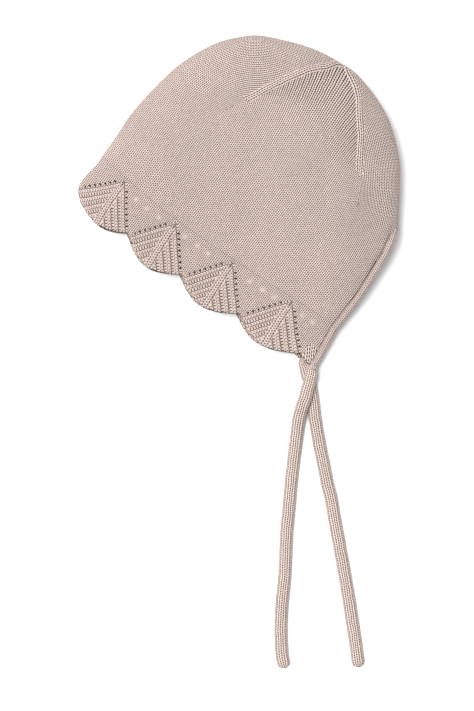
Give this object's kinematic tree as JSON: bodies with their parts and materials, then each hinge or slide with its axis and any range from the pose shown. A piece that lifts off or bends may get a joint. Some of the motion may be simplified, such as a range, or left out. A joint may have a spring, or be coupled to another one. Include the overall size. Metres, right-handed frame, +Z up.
{
  "type": "baby bonnet",
  "caption": "Knitted baby bonnet folded flat on its side, with a scalloped lace face edge, a bound neck edge and knitted ties.",
  "frame": {"origin": "on the surface that the bonnet lies on, under the middle of the box of the cap, its edging and its neck band; the ties are left out", "axes": "+Z up, out of the folded bonnet's upper side; -Y is the way the ties lie; the forehead fold is towards -X and the crown towards +X and +Y"},
  "size_m": [0.186, 0.3681, 0.0304],
  "materials": {
    "cap_knit": "soft matt stocking stitch",
    "lace_knit": "soft matt openwork knit",
    "band_knit": "soft matt rolled knit",
    "tie_knit": "soft matt stocking stitch cord"
  },
  "bodies": {
    "root": {"cap_body": "cap_knit", "scallop_edging": "lace_knit", "neck_band": "band_knit", "tie_near": "tie_knit", "tie_far": "tie_knit"}
  },
  "joints": []
}
